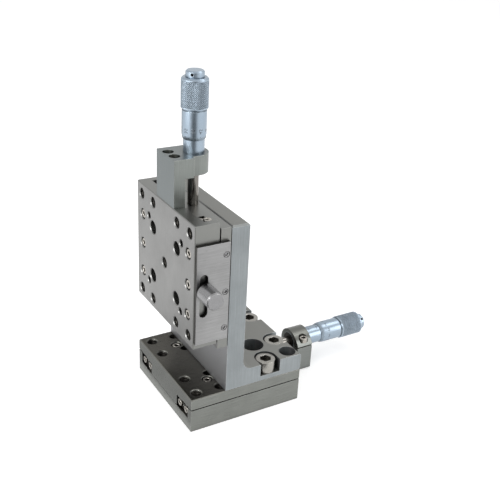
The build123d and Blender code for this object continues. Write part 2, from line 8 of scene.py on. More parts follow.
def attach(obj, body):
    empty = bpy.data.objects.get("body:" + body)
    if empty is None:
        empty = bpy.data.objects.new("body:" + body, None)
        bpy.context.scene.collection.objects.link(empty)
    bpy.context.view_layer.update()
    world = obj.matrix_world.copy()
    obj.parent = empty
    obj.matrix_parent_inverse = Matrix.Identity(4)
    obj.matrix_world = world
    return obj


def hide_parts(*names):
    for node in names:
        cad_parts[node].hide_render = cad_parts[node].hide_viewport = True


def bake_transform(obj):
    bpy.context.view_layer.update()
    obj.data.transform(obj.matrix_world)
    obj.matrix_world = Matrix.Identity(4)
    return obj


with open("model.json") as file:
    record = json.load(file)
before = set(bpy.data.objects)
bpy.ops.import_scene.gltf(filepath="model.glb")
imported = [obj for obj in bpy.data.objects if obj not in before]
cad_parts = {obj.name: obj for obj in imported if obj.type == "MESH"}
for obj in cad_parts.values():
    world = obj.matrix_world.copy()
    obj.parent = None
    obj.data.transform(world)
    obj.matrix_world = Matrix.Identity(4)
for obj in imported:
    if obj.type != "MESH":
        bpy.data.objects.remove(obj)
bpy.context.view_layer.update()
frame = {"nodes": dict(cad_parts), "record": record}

nodes = frame["nodes"]
MM = 0.001

# ---------------------------------------------------------------- sizes, in millimetres
UPPER_FACE = -30.0          # outer face of the upper unit's body, along X
UPPER_MIDDLE = 73.0         # middle of the upper unit's slide, along Z
UPPER_LIFT = 3.0            # upper body over the middle of its travel
AXIS_HEIGHT = 14.1          # micrometer axis over the body's outer face
HOLE_STEP = 12.5            # grid of the mounting holes

SLEEVE_START = 43.0
SLEEVE_LENGTH = 31.0
SLEEVE_RADIUS = 4.75
ZERO_MARK = 54.5            # zero of the sleeve's scale
SCALE_LENGTH = 13.0
SCALE_TURN = math.radians(66)   # the scale's line faces away from the plate, a little to one side
THIMBLE_EDGE = 61.0
BEVEL_RADIUS = 5.05
BEVEL_LENGTH = 2.2
SMOOTH_RADIUS = 5.5
SMOOTH_LENGTH = 13.3
GRIP_RADIUS = 6.05
GRIP_END = 27.0
KNURL_DEPTH = 0.22
KNURL_ROWS = 16
KNURL_AROUND = 44
KNURL_FACETS = 6            # quads to each knurl, along and around
THIMBLE_MARKS = 50
NUMBER_EVERY = 5
MARK_LOW, MARK_HIGH = -0.03, 0.012  # bottom and top of the filled marks, from the surface
CAPITAL_SHARE = 0.7         # height of a figure in the typeface's size
FIGURE_THICK = 0.04
FIGURE_SINK = 0.008         # the middle of a figure's thickness lies this far under the surface
SHARP_CAD, SHARP_PIECE = 28, 30     # edges sharper than this stay sharp, in degrees

# finish shared by all the metals
NOISE_RANGE = (0.3, 0.7)    # the part of a noise's range that is used
STREAK_SHADE = (0.84, 1.10)
CLOUD_SIZE = 14             # handling marks, in millimetres
FLECK_SIZE = 1.3
FLECK_RANGE = (0.62, 0.78)
EDGE_RADIUS = 0.22
EDGE_WEAR_AND_HIGHLIGHT_RANGE = (0.985, 0.86)   # how far an edge turns from its face before it is rubbed and takes a painted highlight
EDGE_WEAR_AND_HIGHLIGHT_SHARE = 0.75
FACING_LIGHT_RANGE = (0.65, 0.75)   # how square to an axis a face is before it takes its own colour: painted light and shade by the way the face turns
FACING_LIGHT_SHARE = 0.92
# painted shade, with oil and dust: surfaces go towards near black where ambient occlusion finds
# corners, holes and recesses
SHADE_AND_GRIME_REACH = 3.5
SHADE_AND_GRIME_RANGE = (0.12, 0.72)
SHADE_AND_GRIME_SHARE = 0.94
SHADE_AND_GRIME_COLOUR = "#141210"


# ---------------------------------------------------------------- places
def place(unit, along, across, height):
    """A point of a unit's own frame, in metres in the row frame."""
    if unit == "x":
        return Vector((along, across, height)) * MM
    return Vector((UPPER_FACE + height, -across, UPPER_MIDDLE + along)) * MM


def on_axis(unit, along, radius, turn):
    """A point round the unit's micrometer axis."""
    return place(unit, along, radius * math.cos(turn), AXIS_HEIGHT + radius * math.sin(turn))


def from_axis(unit, point):
    """How far along and out from the unit's micrometer axis a point lies, in millimetres."""
    offset = (point - place(unit, 0, 0, AXIS_HEIGHT)) / MM
    along = offset.x if unit == "x" else offset.z
    return along, math.sqrt(max(offset.length_squared - along * along, 0))


# ---------------------------------------------------------------- materials
def linear(hex_colour):
    """An sRGB hex value as linear RGBA."""
    parts = [int(hex_colour[i:i + 2], 16) / 255 for i in (1, 3, 5)]
    return [p / 12.92 if p <= 0.04045 else ((p + 0.055) / 1.055) ** 2.4 for p in parts] + [1.0]


def add(tree, kind, links=None, **settings):
    """Adds a node with its settings; links maps its inputs to other nodes' outputs or to values."""
    node = tree.nodes.new("ShaderNode" + kind)
    for key, value in settings.items():
        setattr(node, key, value)
    for key, value in (links or {}).items():
        if isinstance(value, bpy.types.NodeSocket):
            tree.links.new(value, node.inputs[key])
        else:
            node.inputs[key].default_value = value
    return node


def new_material(name):
    """An empty node material and its tree."""
    material = bpy.data.materials.new(name)
    material.use_nodes = True
    material.node_tree.nodes.clear()
    return material, material.node_tree


def close(tree, shader):
    """Gives the material its surface."""
    add(tree, "OutputMaterial", {"Surface": shader.outputs["BSDF"]})


def ranged(tree, value, source, target, **settings):
    """A value carried over from one range to another."""
    links = {"Value": value, "From Min": source[0], "From Max": source[1],
             "To Min": target[0], "To Max": target[1]}
    return add(tree, "MapRange", links, **settings).outputs[0]


def computed(tree, operation, *values):
    """The result of one operation on one or two values."""
    return add(tree, "Math", dict(enumerate(values)), operation=operation).outputs[0]


def blended(tree, share, first, second, kind="MIX"):
    """Two colours mixed by a share."""
    return add(tree, "Mix", {"Factor": share, 6: first, 7: second}, data_type="RGBA",
               blend_type=kind).outputs[2]


def metal(name, colour, worn_and_lit, roughness, grit_mm, depth, grain=None, length_mm=None, spots=0.09,
          sides=()):
    """A metal worked with a tool: streaks of grit_mm across and length_mm along the grain axis,
    cloudy handling marks, painted shade with oil and dust darkening corners and holes, and
    edges brighter where they are rubbed, with a painted highlight. sides gives another colour to
    the faces square to an axis: painted light and shade."""
    material, tree = new_material(name)
    seen_from = add(tree, "TexCoord")
    where = seen_from.outputs["Object"]
    scale = [1 / (grit_mm * MM)] * 3
    if grain is not None:
        scale[grain] = 1 / (length_mm * MM)
    streak_place = add(tree, "Mapping", {"Vector": where, "Scale": scale}).outputs[0]
    streak = add(tree, "TexNoise", {"Vector": streak_place, "Scale": 1.0, "Detail": 3.0,
                                    "Roughness": 0.6}).outputs["Fac"]
    cloud = add(tree, "TexNoise", {"Vector": where, "Scale": 1 / (CLOUD_SIZE * MM), "Detail": 4.0,
                                   "Roughness": 0.55}).outputs["Fac"]
    fleck = add(tree, "TexNoise", {"Vector": where, "Scale": 1 / (FLECK_SIZE * MM),
                                   "Detail": 2.0}).outputs["Fac"]
    shade = ranged(tree, streak, NOISE_RANGE, STREAK_SHADE)
    tint = ranged(tree, cloud, NOISE_RANGE, (1 - spots, 1 + spots))
    dot = ranged(tree, fleck, FLECK_RANGE, (1.0, 1 - spots))
    level = computed(tree, "MULTIPLY", computed(tree, "MULTIPLY", shade, tint), dot)
    base = blended(tree, 1.0, linear(colour), level, "MULTIPLY")
    round_edge = add(tree, "Bevel", {"Radius": EDGE_RADIUS * MM}, samples=6).outputs[0]
    face = add(tree, "NewGeometry").outputs["Normal"]
    turn = add(tree, "VectorMath", {0: round_edge, 1: face}, operation="DOT_PRODUCT")
    # painted highlight along the edges, together with wear: turned edges mix towards the brighter
    # edge colour
    edge_wear_and_highlight = ranged(tree, turn.outputs["Value"], EDGE_WEAR_AND_HIGHLIGHT_RANGE, (0.0, EDGE_WEAR_AND_HIGHLIGHT_SHARE))
    surface = blended(tree, edge_wear_and_highlight, base, linear(worn_and_lit))
    if sides:
        facing = add(tree, "SeparateXYZ", {0: seen_from.outputs["Normal"]})
    # painted light and shade: faces square to an axis take a lighter or darker copy of the colour
    for axis, facing_light_colour in sides:
        flat = computed(tree, "ABSOLUTE", facing.outputs[axis])
        share = ranged(tree, flat, FACING_LIGHT_RANGE, (0.0, FACING_LIGHT_SHARE))
        surface = blended(tree, share, surface, linear(facing_light_colour))
    # painted shade in corners, holes and recesses, together with the oil and dust kept there
    corner = add(tree, "AmbientOcclusion", {"Distance": SHADE_AND_GRIME_REACH * MM}, samples=6)
    shade_and_grime = ranged(tree, corner.outputs["AO"], SHADE_AND_GRIME_RANGE, (SHADE_AND_GRIME_SHARE, 0.0))
    shaded_and_soiled = blended(tree, shade_and_grime, surface, linear(SHADE_AND_GRIME_COLOUR))
    gloss = ranged(tree, streak, NOISE_RANGE, (roughness - 0.05, roughness + 0.06))
    bump = add(tree, "Bump", {"Height": streak, "Strength": depth, "Distance": 0.02 * MM,
                              "Normal": round_edge})
    shader = add(tree, "BsdfPrincipled", {"Base Color": shaded_and_soiled, "Metallic": 1.0,
                                          "Roughness": gloss, "Normal": bump.outputs[0]})
    close(tree, shader)
    return material


def ink(name, colour):
    """Filled marks: dull, a little uneven where the filler is wiped."""
    material, tree = new_material(name)
    where = add(tree, "TexCoord").outputs["Object"]
    wipe = add(tree, "TexNoise", {"Vector": where, "Scale": 1 / (0.4 * MM), "Detail": 2.0})
    dull = ranged(tree, wipe.outputs["Fac"], (0.0, 1.0), (0.45, 0.75))
    shader = add(tree, "BsdfPrincipled", {"Base Color": linear(colour), "Roughness": dull})
    close(tree, shader)
    return material


X, Y, Z = 0, 1, 2
# the second colour of each metal is its worn edges, brightened further as a painted highlight
materials = {
    # stainless plates, surface ground: fine straight streaks along the travel
    # their top faces, square to Z, are painted darker: painted shade
    "lower_plate": metal("ground_stainless_lower", "#787A76", "#B4B6B2", 0.30, 0.25, 0.30, X, 14,
                         sides=((Z, "#6A6862"),)),
    # the upper plates' sides and top faces are painted darker than their outer faces: painted shade
    "upper_plate": metal("ground_stainless_upper", "#838382", "#BDBDBB", 0.34, 0.25, 0.25, Z, 14,
                         sides=((Y, "#7F807D"), (Z, "#7F807D"))),
    # milled bracket, nickel plated: cooler, and matt from the cutter
    # its faces square to X are painted lighter and its top faces darker: painted light and shade
    "bracket": metal("nickel_plated_milled_steel", "#8E9395", "#DADDDD", 0.50, 0.30, 0.35, Z, 18,
                     sides=((X, "#98989A"), (Z, "#83837F"))),
    # ground sheet whose edge faces, square to X and Z, are near black
    "lock_plate": metal("ground_steel_sheet", "#929292", "#B9B9BB", 0.36, 0.22, 0.15, X, 10,
                        sides=((X, "#26241F"), (Z, "#26241F"))),
    # its top faces, square to Z, are painted darker: painted shade
    "lower_arm": metal("ground_stainless_lower_arm", "#7D807D", "#BDBDB4", 0.34, 0.25, 0.25, X, 12,
                       sides=((Z, "#696A66"),)),
    # its faces square to X and its top faces are painted darker: painted shade
    "upper_arm": metal("ground_stainless_upper_arm", "#7F8380", "#BDBDB4", 0.34, 0.25, 0.25, Z, 12,
                       sides=((X, "#6B7172"), (Z, "#727879"))),
    "rail": metal("hardened_ground_steel", "#8F8F8B", "#C4C4C0", 0.22, 0.15, 0.12),
    "roller": metal("lapped_bearing_steel", "#BDBDBB", "#DADAD8", 0.10, 0.10, 0.05),
    "cage": metal("stamped_brass_sheet", "#B8964F", "#E0C384", 0.28, 0.20, 0.15),
    # oiled thread flanks, painted near black as shade inside the holes, but for a painted glint on
    # the ridges
    "thread": metal("oiled_cut_thread_painted_dark", "#34322F", "#7C7A75", 0.34, 0.15, 0.1),
    "screw": metal("turned_steel_screws", "#A8A49D", "#E2DED6", 0.24, 0.18, 0.2, spots=0.10),
    "bolt": metal("zinc_plated_bolts", "#999792", "#D6D4CF", 0.26, 0.20, 0.2, spots=0.08),
    "bright_screw": metal("bright_turned_steel", "#8B8B8C", "#C9C6C4", 0.26, 0.20, 0.15),
    "satin_chrome": metal("satin_chrome_plate", "#98A6B3", "#D3DCE4", 0.30, 0.12, 0.10, spots=0.03),
    # the valleys of the knurl are painted dark, so the diamonds stand out: painted shade
    "knurl_valley_shade": metal("satin_chrome_knurl_painted_shade", "#3E4851", "#65717A", 0.42, 0.12, 0.10),
    "spindle": metal("ground_spindle_steel", "#7C7975", "#A9A6A2", 0.12, 0.12, 0.08),
    "anvil": metal("hardened_anvil_steel", "#77766F", "#AAA9A2", 0.25, 0.12, 0.1),
    "pin": metal("drawn_pin_steel", "#A3A3A0", "#CFCFCC", 0.28, 0.15, 0.1),
    "spring": metal("drawn_spring_wire", "#8A8A88", "#BFBFBC", 0.25, 0.12, 0.1),
}
scale_ink = ink("black_scale_filler", "#23262B")

MATERIAL_OF = {
    "arm_screws": "screw", "clamp_screw": "screw", "outer_rail_screws": "screw",
    "inner_rail_screws": "screw", "outer_end_screws": "screw", "inner_end_screws": "screw",
    "lock_plate_screws": "bright_screw", "lock_screw": "bright_screw",
    "lock_plate": "lock_plate", "sleeve": "satin_chrome", "thimble": "satin_chrome",
    "thimble_cap": "satin_chrome", "spindle": "spindle", "anvil": "anvil",
    "cage_left": "cage", "cage_right": "cage", "rollers": "roller", "return_springs": "spring",
    "body_spring_pins": "pin", "slide_spring_pins": "pin",
}
WHOLE_NAMES = {
    "x_base": "lower_plate", "x_table": "lower_plate", "z_carriage": "upper_plate",
    "z_back_plate": "upper_plate", "angle_bracket": "bracket", "bracket_foot_bolts": "bolt",
    "bracket_back_bolts": "bolt", "x_micrometer_arm": "lower_arm", "z_micrometer_arm": "upper_arm",
}


def dress(node, material):
    """Gives a CAD node its material and smooth shading up to its real edges."""
    node.data.materials.clear()
    node.data.materials.append(material)
    node.data.shade_smooth()
    node.data.set_sharp_from_angle(angle=math.radians(SHARP_CAD))


for name, node in nodes.items():
    kind = WHOLE_NAMES.get(name) or MATERIAL_OF.get(name[2:]) or "rail"
    dress(node, materials[kind])


# ---------------------------------------------------------------- making pieces
def keep(mesh, name, body, surfaces):
    """Turns a bmesh into a piece that rides on a body, or on none yet."""
    bmesh.ops.remove_doubles(mesh, verts=mesh.verts, dist=1e-7)
    bmesh.ops.recalc_face_normals(mesh, faces=mesh.faces)
    data = bpy.data.meshes.new(name)
    mesh.to_mesh(data)
    mesh.free()
    for surface in surfaces:
        data.materials.append(surface)
    data.shade_smooth()
    data.set_sharp_from_angle(angle=math.radians(SHARP_PIECE))
    piece = bpy.data.objects.new(name, data)
    bpy.context.scene.collection.objects.link(piece)
    if body is not None:
        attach(piece, body)
    return piece


def skin(mesh, rings, closed):
    """Quads between rings of points. closed joins the last ring to the first; otherwise the two
    ends are capped."""
    rows = [[mesh.verts.new(p) for p in ring] for ring in rings]
    count = len(rows[0])
    faces = []
    for i in range(len(rows) if closed else len(rows) - 1):
        a, b = rows[i], rows[(i + 1) % len(rows)]
        for k in range(count):
            m = (k + 1) % count
            faces.append(mesh.faces.new((a[k], a[m], b[m], b[k])))
    if not closed:
        mesh.faces.new(rows[0])
        mesh.faces.new(rows[-1])
    return faces


def turned(mesh, unit, start, outline, steps):
    """A turned form round the micrometer axis. The radius may be a function of the angle.
    Returns its quads, ring by ring."""
    rings = []
    for along, radius in outline:
        ring = []
        for k in range(steps):
            turn = 2 * math.pi * k / steps
            out = radius(turn) if callable(radius) else radius
            ring.append(on_axis(unit, start + along, out, turn))
        rings.append(ring)
    return skin(mesh, rings, closed=True)


def tooth(x):
    """Triangle wave from 0 at whole numbers to 1 halfway between."""
    return 1 - abs(2 * (x % 1) - 1)


def knurl(along):
    """Radius of the diamond knurl at a place, as a function of the angle."""
    row = along * KNURL_ROWS / (GRIP_END - SMOOTH_LENGTH)

    def radius(turn):
        column = turn * KNURL_AROUND / (2 * math.pi)
        height = min(tooth(column + row), tooth(column - row))
        return GRIP_RADIUS - KNURL_DEPTH * (1 - min(height / 0.7, 1))
    return radius


def mark(mesh, unit, start, end, turn, width, radius_at):
    """A filled scale line: a thin bar let into the surface."""
    rings = []
    for along in (start, end):
        r = radius_at(along)
        side = width / 2 / r
        rings.append([on_axis(unit, along, r + MARK_LOW, turn - side),
                      on_axis(unit, along, r + MARK_HIGH, turn - side),
                      on_axis(unit, along, r + MARK_HIGH, turn + side),
                      on_axis(unit, along, r + MARK_LOW, turn + side)])
    return skin(mesh, rings, closed=False)


def figures(mesh, unit, text, start, turn, height, radius_at):
    """Scale figures wrapped round the axis, reading along it."""
    curve = bpy.data.curves.new("figure", "FONT")
    curve.body = text
    curve.size = height / CAPITAL_SHARE
    curve.align_x = "CENTER"
    curve.align_y = "CENTER"
    curve.extrude = FIGURE_THICK / 2
    curve.resolution_u = 3
    carrier = bpy.data.objects.new("figure", curve)
    bpy.context.scene.collection.objects.link(carrier)
    bpy.context.view_layer.update()
    graph = bpy.context.evaluated_depsgraph_get()
    flat = bpy.data.meshes.new_from_object(carrier.evaluated_get(graph))
    bpy.data.objects.remove(carrier)
    verts = []
    for v in flat.vertices:
        along = start + v.co.x
        radius = radius_at(along)
        point = on_axis(unit, along, radius + v.co.z - FIGURE_SINK, turn + v.co.y / radius)
        verts.append(mesh.verts.new(point))
    faces = []
    for polygon in flat.polygons:
        corners = [verts[i] for i in polygon.vertices]
        if len(set(corners)) == len(corners):
            faces.append(mesh.faces.new(corners))
    bpy.data.meshes.remove(flat)
    return faces


def ring_of(centre, first, second, radius, sides):
    """Points round a small circle."""
    return [centre + first * (radius * math.cos(2 * math.pi * k / sides))
            + second * (radius * math.sin(2 * math.pi * k / sides)) for k in range(sides)]


def wire(mesh, path, radius, sides, closed=False):
    """A round wire along a path of points, in metres."""
    rings = []
    count = len(path)
    for i, point in enumerate(path):
        before = path[(i - 1) % count] if closed or i > 0 else point
        after = path[(i + 1) % count] if closed or i < count - 1 else point
        ahead = (after - before).normalized()
        spread = Vector((0.13, 0.57, 0.81))
        first = ahead.cross(spread).normalized()
        rings.append(ring_of(point, first, ahead.cross(first), radius, sides))
    skin(mesh, rings, closed)


# ---------------------------------------------------------------- micrometer heads
def bevel_radius(along):
    """Radius of the thimble's scale end, measured from its edge."""
    share = min(max(along / BEVEL_LENGTH, 0), 1)
    return BEVEL_RADIUS + share * (SMOOTH_RADIUS - BEVEL_RADIUS)


def make_thimble(unit, rest_turn):
    """Thimble with a bevelled scale, figures, a groove and a diamond-knurled grip."""
    mesh = bmesh.new()
    inner = SLEEVE_RADIUS + 0.08
    hub = 2.52
    floor = GRIP_END - 5.5
    valley = GRIP_RADIUS - 0.55 * KNURL_DEPTH
    outline = [(0.0, inner), (0.0, BEVEL_RADIUS - 0.06), (0.08, BEVEL_RADIUS),
               (BEVEL_LENGTH, SMOOTH_RADIUS),
               (SMOOTH_LENGTH - 0.6, SMOOTH_RADIUS), (SMOOTH_LENGTH - 0.5, SMOOTH_RADIUS - 0.1),
               (SMOOTH_LENGTH - 0.5, SMOOTH_RADIUS - 0.35), (SMOOTH_LENGTH, SMOOTH_RADIUS - 0.35),
               (SMOOTH_LENGTH, GRIP_RADIUS - 0.45), (SMOOTH_LENGTH + 0.4, GRIP_RADIUS - 0.03),
               (SMOOTH_LENGTH + 0.7, GRIP_RADIUS - 0.03)]
    knurl_start, knurl_end = SMOOTH_LENGTH + 0.75, GRIP_END - 1.35
    rows = KNURL_ROWS * KNURL_FACETS
    for i in range(rows + 1):
        along = knurl_start + (knurl_end - knurl_start) * i / rows
        outline.append((along, knurl(along - knurl_start)))
    outline += [(GRIP_END - 1.25, GRIP_RADIUS - 0.02), (GRIP_END - 0.7, GRIP_RADIUS - 0.02),
                (GRIP_END - 0.08, GRIP_RADIUS - 0.62), (GRIP_END, GRIP_RADIUS - 0.7),
                (GRIP_END, hub), (floor, hub), (floor, inner)]
    for quad in turned(mesh, unit, THIMBLE_EDGE, outline, KNURL_AROUND * KNURL_FACETS):
        # quads in the knurl's valleys take the dark valley material: painted shade
        along, out = from_axis(unit, quad.calc_center_median())
        if knurl_start < along - THIMBLE_EDGE < knurl_end and SLEEVE_RADIUS < out < valley:
            quad.material_index = 2
    inked = []
    for i in range(THIMBLE_MARKS):
        turn = rest_turn + 2 * math.pi * i / THIMBLE_MARKS
        long = i % NUMBER_EVERY == 0
        inked += mark(mesh, unit, THIMBLE_EDGE + 0.1, THIMBLE_EDGE + (1.9 if long else 1.3), turn,
                      0.16, lambda a: bevel_radius(a - THIMBLE_EDGE))
        if long:
            inked += figures(mesh, unit, str(i), THIMBLE_EDGE + 4.2, turn, 1.7,
                             lambda a: SMOOTH_RADIUS)
    for face in inked:
        face.material_index = 1
    piece = keep(mesh, unit + "_scaled_thimble", unit + "_thimble",
                 [materials["satin_chrome"], scale_ink, materials["knurl_valley_shade"]])
    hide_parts(unit + "_thimble")


def make_sleeve(unit, body, shift, line_turn):
    """Sleeve with its line, half-millimetre marks and figures."""
    mesh = bmesh.new()
    step = SLEEVE_LENGTH - 17
    outline = [(0.0, 2.58), (0.0, SLEEVE_RADIUS - 0.15), (0.15, SLEEVE_RADIUS),
               (SLEEVE_LENGTH - 0.15, SLEEVE_RADIUS), (SLEEVE_LENGTH, SLEEVE_RADIUS - 0.15),
               (SLEEVE_LENGTH, 3.08), (step, 3.08), (step, 2.58)]
    for quad in turned(mesh, unit, SLEEVE_START + shift, outline, 96):
        # the sleeve's end face takes the near-black thread material: painted shade
        if from_axis(unit, quad.calc_center_median())[0] < SLEEVE_START + shift + 0.05:
            quad.material_index = 2
    zero = ZERO_MARK + shift
    inked = mark(mesh, unit, zero - 1.5, zero + SCALE_LENGTH + 0.5, line_turn, 0.14,
                 lambda a: SLEEVE_RADIUS)
    for i in range(int(SCALE_LENGTH * 2) + 1):
        side = 1 if i % 2 == 0 else -1
        reach = (2.3 if i % 10 == 0 else 1.4) / SLEEVE_RADIUS
        along = zero + i / 2
        rings = []
        for k in range(7):
            turn = line_turn + side * reach * k / 6
            rings.append([on_axis(unit, along - 0.07, SLEEVE_RADIUS + MARK_LOW, turn),
                          on_axis(unit, along - 0.07, SLEEVE_RADIUS + MARK_HIGH, turn),
                          on_axis(unit, along + 0.07, SLEEVE_RADIUS + MARK_HIGH, turn),
                          on_axis(unit, along + 0.07, SLEEVE_RADIUS + MARK_LOW, turn)])
        inked += skin(mesh, rings, closed=False)
        if i % 10 == 0:
            inked += figures(mesh, unit, str(i // 2), along,
                             line_turn + side * 3.3 / SLEEVE_RADIUS, 1.5, lambda a: SLEEVE_RADIUS)
    for face in inked:
        face.material_index = 1
    piece = keep(mesh, unit + "_scaled_sleeve", body,
                 [materials["satin_chrome"], scale_ink, materials["thread"]])
    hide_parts(unit + "_sleeve")


make_thimble("x", math.radians(72))
make_thimble("z", math.radians(40))
make_sleeve("x", "base", 0, SCALE_TURN)
make_sleeve("z", "z_carriage", UPPER_LIFT, SCALE_TURN)


# ---------------------------------------------------------------- threads in the mounting holes
def quarters(a, b):
    """Four holes, a and b grid steps from the middle."""
    return [(sa * a * HOLE_STEP, sb * b * HOLE_STEP) for sa in (-1, 1) for sb in (-1, 1)]


THREAD_PITCH, THREAD_TURNS, THREAD_SIDES = 1.0, 3.7, 20
THREAD_START = 0.95         # depth of the first ridge under the face
THREAD_ROOT, THREAD_END, THREAD_RIDGE = 2.54, 2.53, 0.26   # bore, faded ridge, height of a ridge
FLANK = 0.36                # half the width of a ridge at its root
FADE_STEPS = 6              # the ridge runs out over this many steps at each end


def make_threads(name, body, unit, shift, face_height, inward, spots):
    """M6 threads inside tapped holes: a ridge that winds down from the face."""
    mesh = bmesh.new()
    steps = THREAD_TURNS * THREAD_SIDES
    for along, across in spots:
        rings = []
        for k in range(int(steps) + 1):
            turn = 2 * math.pi * k / THREAD_SIDES
            depth = THREAD_START + THREAD_PITCH * k / THREAD_SIDES
            fade = min(1, k / FADE_STEPS, (steps - k) / FADE_STEPS)
            ring = []
            crest = THREAD_END - THREAD_RIDGE * fade
            for out, down in ((THREAD_ROOT, -FLANK), (crest, 0.0), (THREAD_ROOT, FLANK)):
                ring.append(place(unit, along + shift + out * math.cos(turn),
                                  across + out * math.sin(turn),
                                  face_height + inward * (depth + down)))
            rings.append(ring)
        skin(mesh, rings, closed=False)
    keep(mesh, name, body, [materials["thread"]])


plate_spots = quarters(2, 2) + quarters(2, 1) + [(0.0, 0.0)]
make_threads("x_base_threads", "base", "x", 0, 0, 1, plate_spots)
make_threads("z_carriage_threads", "z_carriage", "z", UPPER_LIFT, 0, 1, plate_spots)
table_spots = [(-25, -25), (-25, 25), (25, -25), (25, 25),
               (-25, -12.5), (-25, 12.5), (-12.5, -25), (-12.5, 25)]
make_threads("x_table_threads", "x_table", "x", 0, 18, -1, table_spots)


# ---------------------------------------------------------------- socket screws
SOCKETS = {     # key size and depth of the socket, in millimetres
    "arm_screws": (2.0, 1.4), "clamp_screw": (2.0, 1.4), "outer_rail_screws": (2.0, 1.4),
    "inner_rail_screws": (2.0, 1.4), "outer_end_screws": (1.5, 0.6),
    "inner_end_screws": (1.5, 0.6), "lock_plate_screws": (1.5, 0.6),
    "bracket_foot_bolts": (5.0, 3.2), "bracket_back_bolts": (3.0, 2.2),
}
SCREW_AXIS = {  # the axis of a unit that its screws lie on: 0 along, 1 across, 2 height
    "arm_screws": 0, "clamp_screw": 2, "outer_rail_screws": 2, "inner_rail_screws": 2,
    "outer_end_screws": 0, "inner_end_screws": 0, "lock_plate_screws": 1,
}
HEAD_PLAY = 0.16            # a head is this much smaller than its solid, so a dark ring shows
SCREW_STEPS = 48
SAME_LEVEL = 1e-5           # points nearer than this along the screw lie level, in metres


def loose_parts(node):
    """The points of each separate solid of a node."""
    corners = [tuple(round(c, 6) for c in v.co) for v in node.data.vertices]
    leader = {c: c for c in corners}

    def first(corner):
        while leader[corner] != corner:
            corner = leader[corner]
        return corner
    for edge in node.data.edges:
        leader[first(corners[edge.vertices[0]])] = first(corners[edge.vertices[1]])
    parts = {}
    for corner in leader:
        parts.setdefault(first(corner), []).append(Vector(corner))
    return list(parts.values())


def hexagon(key):
    """Radius of a hexagon of a key size, as a function of the angle."""
    return lambda turn: key / 2 / math.cos(turn % (math.pi / 3) - math.pi / 6)


def socket_screw(mesh, points, axis, key, socket_depth, middle):
    """A socket screw in place of one solid: rounded rim, hexagon socket with a chamfer and a
    plain shank. Its head faces out: away from the unit's middle where both ends are as wide."""
    one, two = [i for i in range(3) if i != axis]
    centre = [(min(p[i] for p in points) + max(p[i] for p in points)) / 2 for i in (one, two)]
    reach = [math.hypot(p[one] - centre[0], p[two] - centre[1]) / MM for p in points]
    wide = [p[axis] for p, r in zip(points, reach) if r > 0.93 * max(reach)]
    low, high = min(p[axis] for p in points), max(p[axis] for p in points)
    if abs(high - max(wide)) < SAME_LEVEL and abs(min(wide) - low) < SAME_LEVEL:
        out = 1 if high + low > 2 * middle[axis] else -1
    else:
        out = 1 if high - max(wide) < min(wide) - low else -1
    top, end = (high, low) if out == 1 else (low, high)
    head = max(reach) - HEAD_PLAY
    rise = (max(wide) - min(wide)) / MM
    length = abs(top - end) / MM
    thin = [r for p, r in zip(points, reach) if abs(p[axis] - end) < SAME_LEVEL]
    shank = max(thin) if length > rise + 0.1 else head
    rim = min(0.25, rise / 3)
    outline = [(socket_depth, hexagon(key)), (0.15, hexagon(key)), (0.0, hexagon(key + 0.3)),
               (0.0, head - rim), (rim * 0.3, head - rim * 0.3), (rim, head), (rise, head)]
    if shank < head:
        outline += [(rise, shank), (length, shank)]
    rings = []
    for depth, radius in outline:
        ring = []
        for k in range(SCREW_STEPS):
            turn = 2 * math.pi * k / SCREW_STEPS
            r = radius(turn) if callable(radius) else radius
            point = Vector((0, 0, 0))
            point[axis] = top - out * depth * MM
            point[one] = centre[0] + r * MM * math.cos(turn)
            point[two] = centre[1] + r * MM * math.sin(turn)
            ring.append(point)
        rings.append(ring)
    skin(mesh, rings, closed=False)


for body, members in frame["record"]["behaviour"]["bodies"].items():
    for name in members:
        kind = name if name in SOCKETS else name[2:]
        if kind not in SOCKETS:
            continue
        if name == "bracket_foot_bolts":
            axis = Z
        elif name == "bracket_back_bolts":
            axis = X
        else:
            axis = ((X, Y, Z) if name[0] == "x" else (Z, Y, X))[SCREW_AXIS[kind]]
        key, socket_depth = SOCKETS[kind]
        surface = materials[WHOLE_NAMES.get(name) or MATERIAL_OF[kind]]
        middle = place(name[0], 0, 0, 9) if name[0] in "xz" else Vector((0, 0, 0))
        mesh = bmesh.new()
        for points in loose_parts(nodes[name]):
            socket_screw(mesh, points, axis, key, socket_depth, middle)
        piece = keep(mesh, "socketed_" + name, body, [surface])
        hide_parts(name)


# ---------------------------------------------------------------- return springs
COIL_RADIUS, COIL_PITCH, COIL_STEPS = 1.6, 0.75, 14
GAUGE = 0.3                 # radius of the wire
EYE_RADIUS, EYE_STEPS = 1.35, 20
EYE_TO_COIL = 2.3           # from a pin to where the coils start
SPRING_HEIGHT, SPRING_ACROSS = 8.2, 6.0     # of the springs' axes in their unit
SLIDE_PIN, BODY_PIN = -14.0, 20.0


